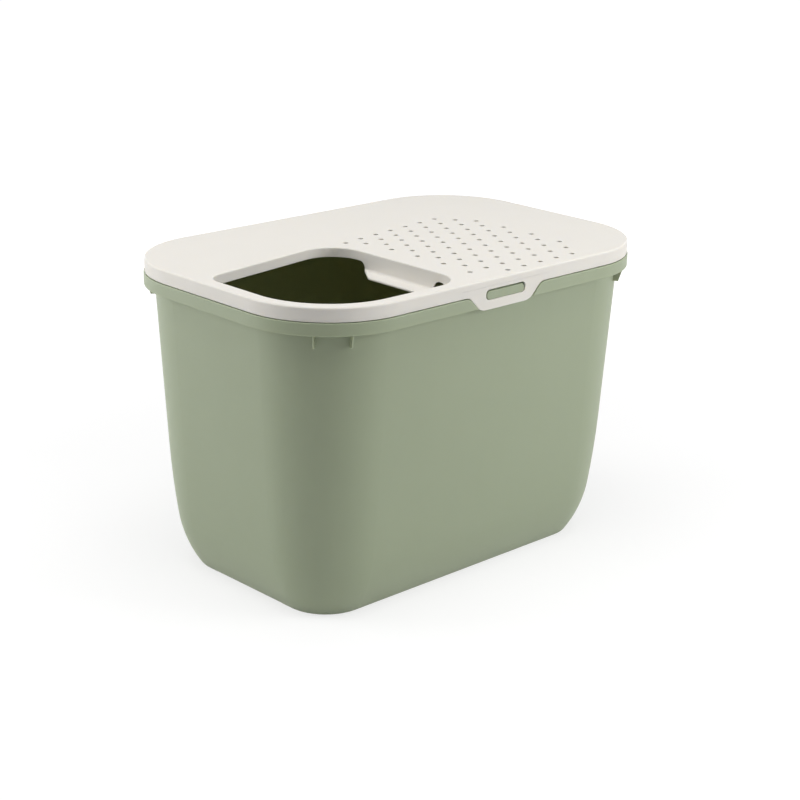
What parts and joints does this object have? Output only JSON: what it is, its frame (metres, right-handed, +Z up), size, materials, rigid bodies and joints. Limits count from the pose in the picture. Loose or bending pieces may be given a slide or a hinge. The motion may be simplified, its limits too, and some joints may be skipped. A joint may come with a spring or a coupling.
{
  "type": "top entry litter box",
  "caption": "Deep rounded cat litter tub with a lid that clips over its rim. The lid has an entry opening, a ledge and a sifting field of holes.",
  "frame": {"origin": "on the ground under the middle of the tub", "axes": "+X along the long side, away from the entry opening; +Y from front to back; +Z up"},
  "size_m": [0.585, 0.39, 0.395],
  "materials": {
    "tub_plastic": "satin moulded sage green",
    "lid_plastic": "satin moulded off-white"
  },
  "bodies": {
    "tub": {"tub": "tub_plastic"},
    "lid": {"lid": "lid_plastic"},
    "front_latch": {"front_latch_tab": "lid_plastic"},
    "rear_latch": {"rear_latch_tab": "lid_plastic"}
  },
  "joints": [
    {"name": "lid_lift", "type": "slide", "parent": "tub", "child": "lid", "axis": [0, 0, 1], "range_m": [0, 0.25]},
    {"name": "front_latch_flex", "type": "hinge", "parent": "lid", "child": "front_latch", "pos_m": [0, -0.1939, 0.3865], "axis": [-1, 0, 0], "range_deg": [0, 12], "stiffness_Nm_per_rad": 0.3},
    {"name": "rear_latch_flex", "type": "hinge", "parent": "lid", "child": "rear_latch", "pos_m": [0, 0.1939, 0.3865], "axis": [1, 0, 0], "range_deg": [0, 12], "stiffness_Nm_per_rad": 0.3}
  ]
}
